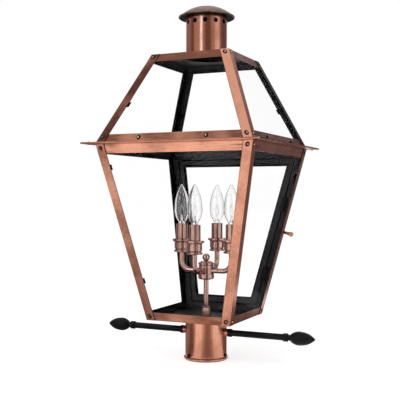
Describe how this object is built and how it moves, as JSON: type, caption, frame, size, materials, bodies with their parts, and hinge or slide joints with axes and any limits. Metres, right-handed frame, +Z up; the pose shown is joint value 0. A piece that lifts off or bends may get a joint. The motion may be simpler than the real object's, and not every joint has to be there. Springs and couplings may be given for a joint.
{
  "type": "post top lantern",
  "caption": "Tapered square copper lantern for a post top, with glass panes, a hinged door, vented chimney, candle-style bulbs and a ladder-rest bar.",
  "frame": {"origin": "on the lantern's axis at the lower end of the post collar, the mouth of the post socket", "axes": "+Z up along the post, X along the ladder-rest bar, +Y out of the face with the door"},
  "size_m": [0.4336, 0.346, 0.6754],
  "materials": {
    "copper": "aged copper outside, brushed and lacquered; black inside",
    "dark_copper": "darkened copper",
    "black_enamel": "satin black enamel",
    "steel": "dull plated steel",
    "pane_glass": "clear flat glass",
    "bulb_glass": "clear blown glass",
    "bulb_cap": "plated screw cap",
    "socket_plastic": "moulded dark plastic"
  },
  "bodies": {
    "lantern": {"post_collar": "copper", "ladder_boss_right": "copper", "ladder_rod_right": "black_enamel", "ladder_finial_right": "black_enamel", "ladder_boss_left": "copper", "ladder_rod_left": "black_enamel", "ladder_finial_left": "black_enamel", "corner_leg_front_right": "copper", "corner_leg_back_left": "copper", "corner_leg_front_left": "copper", "corner_leg_back_right": "copper", "roof_hip_front_right": "copper", "roof_hip_back_right": "copper", "roof_hip_back_left": "copper", "roof_hip_front_left": "copper", "base_pan": "copper", "waist_band": "copper", "roof_skirt": "copper", "roof_top_pan": "copper", "chimney": "copper", "cap_baffle": "black_enamel", "cap_dome": "copper", "roof_glass_front": "pane_glass", "body_glass_front": "pane_glass", "roof_glass_right": "pane_glass", "body_glass_right": "pane_glass", "roof_glass_back": "pane_glass", "roof_glass_left": "pane_glass", "body_glass_left": "pane_glass", "glass_clips": "black_enamel", "sheet_rivets": "dark_copper", "skirt_screws": "dark_copper", "door_stops": "black_enamel", "hinge_frame_leaves": "dark_copper", "hinge_pins": "steel", "stem_coupling": "copper", "candle_stem": "copper", "hub_body": "copper", "hub_cover": "copper", "ball_finial": "copper", "candle_arms": "copper", "candle_cups": "copper", "candle_sleeves": "copper", "candle_sockets": "socket_plastic"},
    "door": {"door_frame": "copper", "door_glass": "pane_glass", "hinge_door_leaves": "dark_copper"},
    "latch": {"latch_lever": "copper", "latch_pivot": "dark_copper"},
    "set_screw_1": {"set_screw_1": "steel"},
    "set_screw_2": {"set_screw_2": "steel"},
    "set_screw_3": {"set_screw_3": "steel"},
    "bulb_1": {"bulb_cap_1": "bulb_cap", "bulb_glass_1": "bulb_glass"},
    "bulb_2": {"bulb_cap_2": "bulb_cap", "bulb_glass_2": "bulb_glass"},
    "bulb_3": {"bulb_cap_3": "bulb_cap", "bulb_glass_3": "bulb_glass"},
    "bulb_4": {"bulb_cap_4": "bulb_cap", "bulb_glass_4": "bulb_glass"}
  },
  "joints": [
    {"name": "door_hinge", "type": "hinge", "parent": "lantern", "child": "door", "pos_m": [-0.10063, 0.12068, 0.2415], "axis": [-0.2033, 0.2033, 0.9578], "range_deg": [0, 110]},
    {"name": "latch_turn", "type": "hinge", "parent": "lantern", "child": "latch", "pos_m": [0.10973, 0.11823, 0.2415], "axis": [0, 0.9782, -0.2076], "range_deg": [0, 167]},
    {"name": "set_screw_1_travel", "type": "slide", "parent": "lantern", "child": "set_screw_1", "axis": [-0.5, -0.866, 0], "range_m": [0, 0.006]},
    {"name": "set_screw_2_travel", "type": "slide", "parent": "lantern", "child": "set_screw_2", "axis": [1, 0, 0], "range_m": [0, 0.006]},
    {"name": "set_screw_3_travel", "type": "slide", "parent": "lantern", "child": "set_screw_3", "axis": [-0.5, 0.866, 0], "range_m": [0, 0.006]},
    {"name": "bulb_1_turn", "type": "hinge", "parent": "lantern", "child": "bulb_1", "pos_m": [0.0523, 0, 0.258], "axis": [0, 0, 1], "continuous": true},
    {"name": "bulb_2_turn", "type": "hinge", "parent": "lantern", "child": "bulb_2", "pos_m": [0, 0.0523, 0.258], "axis": [0, 0, 1], "continuous": true},
    {"name": "bulb_3_turn", "type": "hinge", "parent": "lantern", "child": "bulb_3", "pos_m": [-0.0523, 0, 0.258], "axis": [0, 0, 1], "continuous": true},
    {"name": "bulb_4_turn", "type": "hinge", "parent": "lantern", "child": "bulb_4", "pos_m": [0, -0.0523, 0.258], "axis": [0, 0, 1], "continuous": true}
  ]
}
